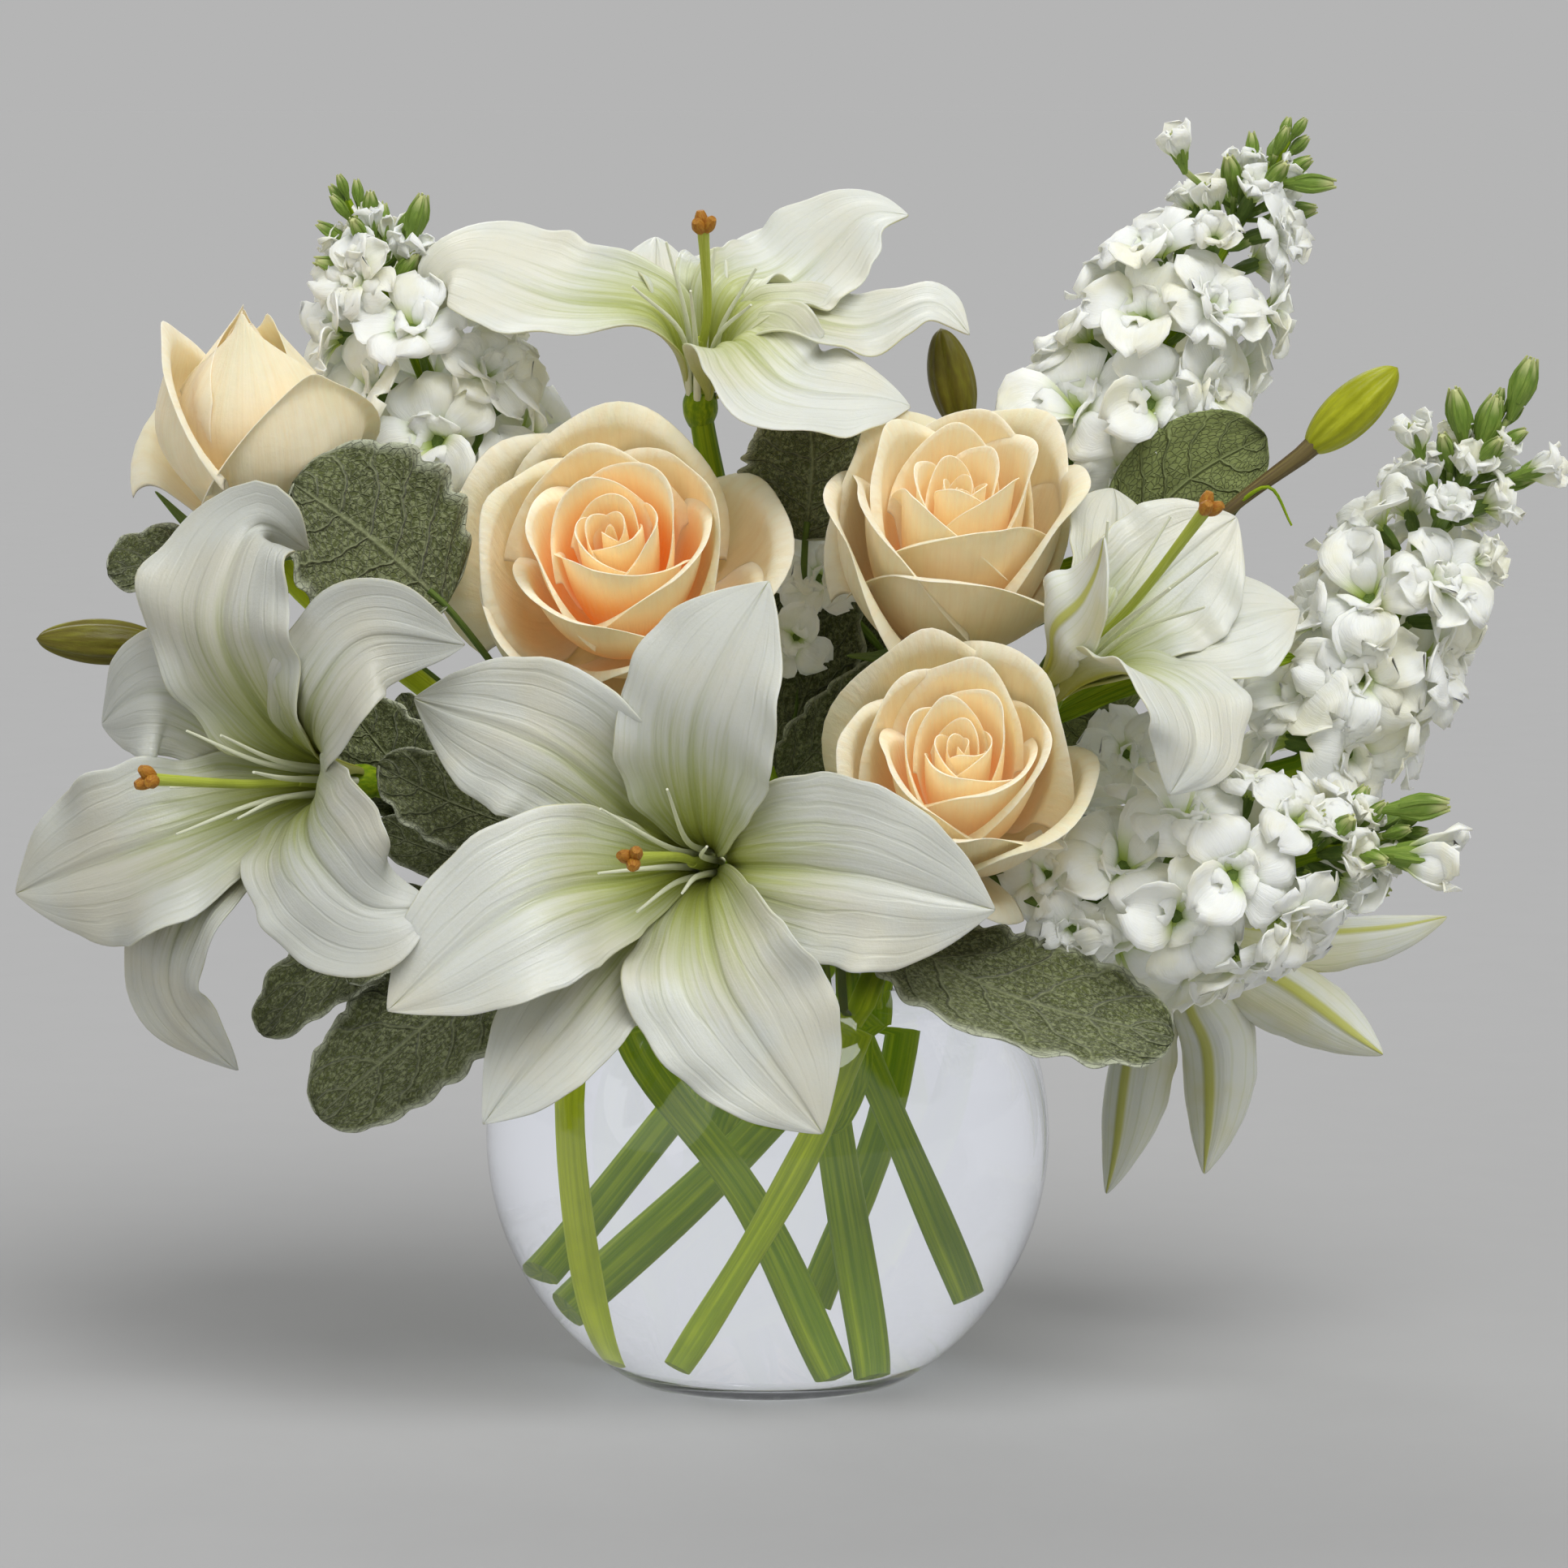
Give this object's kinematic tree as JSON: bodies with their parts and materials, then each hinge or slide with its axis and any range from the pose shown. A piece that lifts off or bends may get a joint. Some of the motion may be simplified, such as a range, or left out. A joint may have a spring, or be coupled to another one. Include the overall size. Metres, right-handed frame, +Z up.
{
  "type": "flower arrangement in a glass bubble bowl",
  "caption": "White lilies with peach roses, white garden stock and felted grey-green leaves, arranged in a clear glass bubble bowl of water that stands on its flat base",
  "frame": {"origin": "centre of the bowl's flat base, on the surface it stands on", "axes": "+Z up, -Y towards the front from which the arrangement is meant to be seen, +X to the viewer's right"},
  "size_m": [0.3946, 0.1891, 0.33],
  "materials": {
    "clear_glass": "clear polished blown glass",
    "water": "clear still water",
    "lily_petal": "waxy white, greenish yellow in the throat",
    "lily_stem": "smooth green stem with yellow-green style",
    "lily_bud": "smooth yellow-green, closed bud",
    "rose_petal": "velvety pale peach, deeper in the heart",
    "rose_stem": "smooth light green",
    "stock_floret": "soft ruffled white florets",
    "felt_leaf": "grey-green felted leaf",
    "round_leaf": "matte bluish green leaf"
  },
  "bodies": {
    "root": {"glass_bowl": "clear_glass", "lily_a_stem": "lily_stem", "lily_b_stem": "lily_stem", "lily_c_stem": "lily_stem", "lily_d_stem": "lily_stem", "lily_e_stem": "lily_stem", "rose_1_bloom": "rose_petal", "rose_1_stem": "rose_stem", "rose_2_bloom": "rose_petal", "rose_2_stem": "rose_stem", "rose_3_bloom": "rose_petal", "rose_3_stem": "rose_stem", "rose_4_bloom": "rose_petal", "rose_4_stem": "rose_stem", "lily_bud_1": "lily_bud", "lily_bud_2": "lily_bud", "lily_bud_3": "lily_bud", "lily_a_tepal_1": "lily_petal", "lily_a_tepal_3": "lily_petal", "lily_a_tepal_5": "lily_petal", "lily_a_tepal_2": "lily_petal", "lily_a_tepal_4": "lily_petal", "lily_a_tepal_6": "lily_petal", "lily_b_tepal_1": "lily_petal", "lily_b_tepal_3": "lily_petal", "lily_b_tepal_5": "lily_petal", "lily_b_tepal_2": "lily_petal", "lily_b_tepal_4": "lily_petal", "lily_b_tepal_6": "lily_petal", "lily_c_tepal_1": "lily_petal", "lily_c_tepal_3": "lily_petal", "lily_c_tepal_5": "lily_petal", "lily_c_tepal_2": "lily_petal", "lily_c_tepal_4": "lily_petal", "lily_c_tepal_6": "lily_petal", "lily_d_tepal_1": "lily_petal", "lily_d_tepal_3": "lily_petal", "lily_d_tepal_5": "lily_petal", "lily_d_tepal_2": "lily_petal", "lily_d_tepal_4": "lily_petal", "lily_d_tepal_6": "lily_petal", "lily_e_tepal_1": "lily_petal", "lily_e_tepal_3": "lily_petal", "lily_e_tepal_5": "lily_petal", "lily_e_tepal_2": "lily_petal", "lily_e_tepal_4": "lily_petal", "lily_e_tepal_6": "lily_petal", "stock_1": "stock_floret", "stock_2": "stock_floret", "stock_3": "stock_floret", "stock_4": "stock_floret", "leaf_left_top": "felt_leaf", "leaf_far_left": "felt_leaf", "leaf_back": "felt_leaf", "leaf_over_bowl": "felt_leaf", "leaf_lower_left": "felt_leaf", "leaf_small_left": "felt_leaf", "leaf_round": "round_leaf", "leaf_pale_edge": "felt_leaf", "water": "water"}
  },
  "joints": []
}
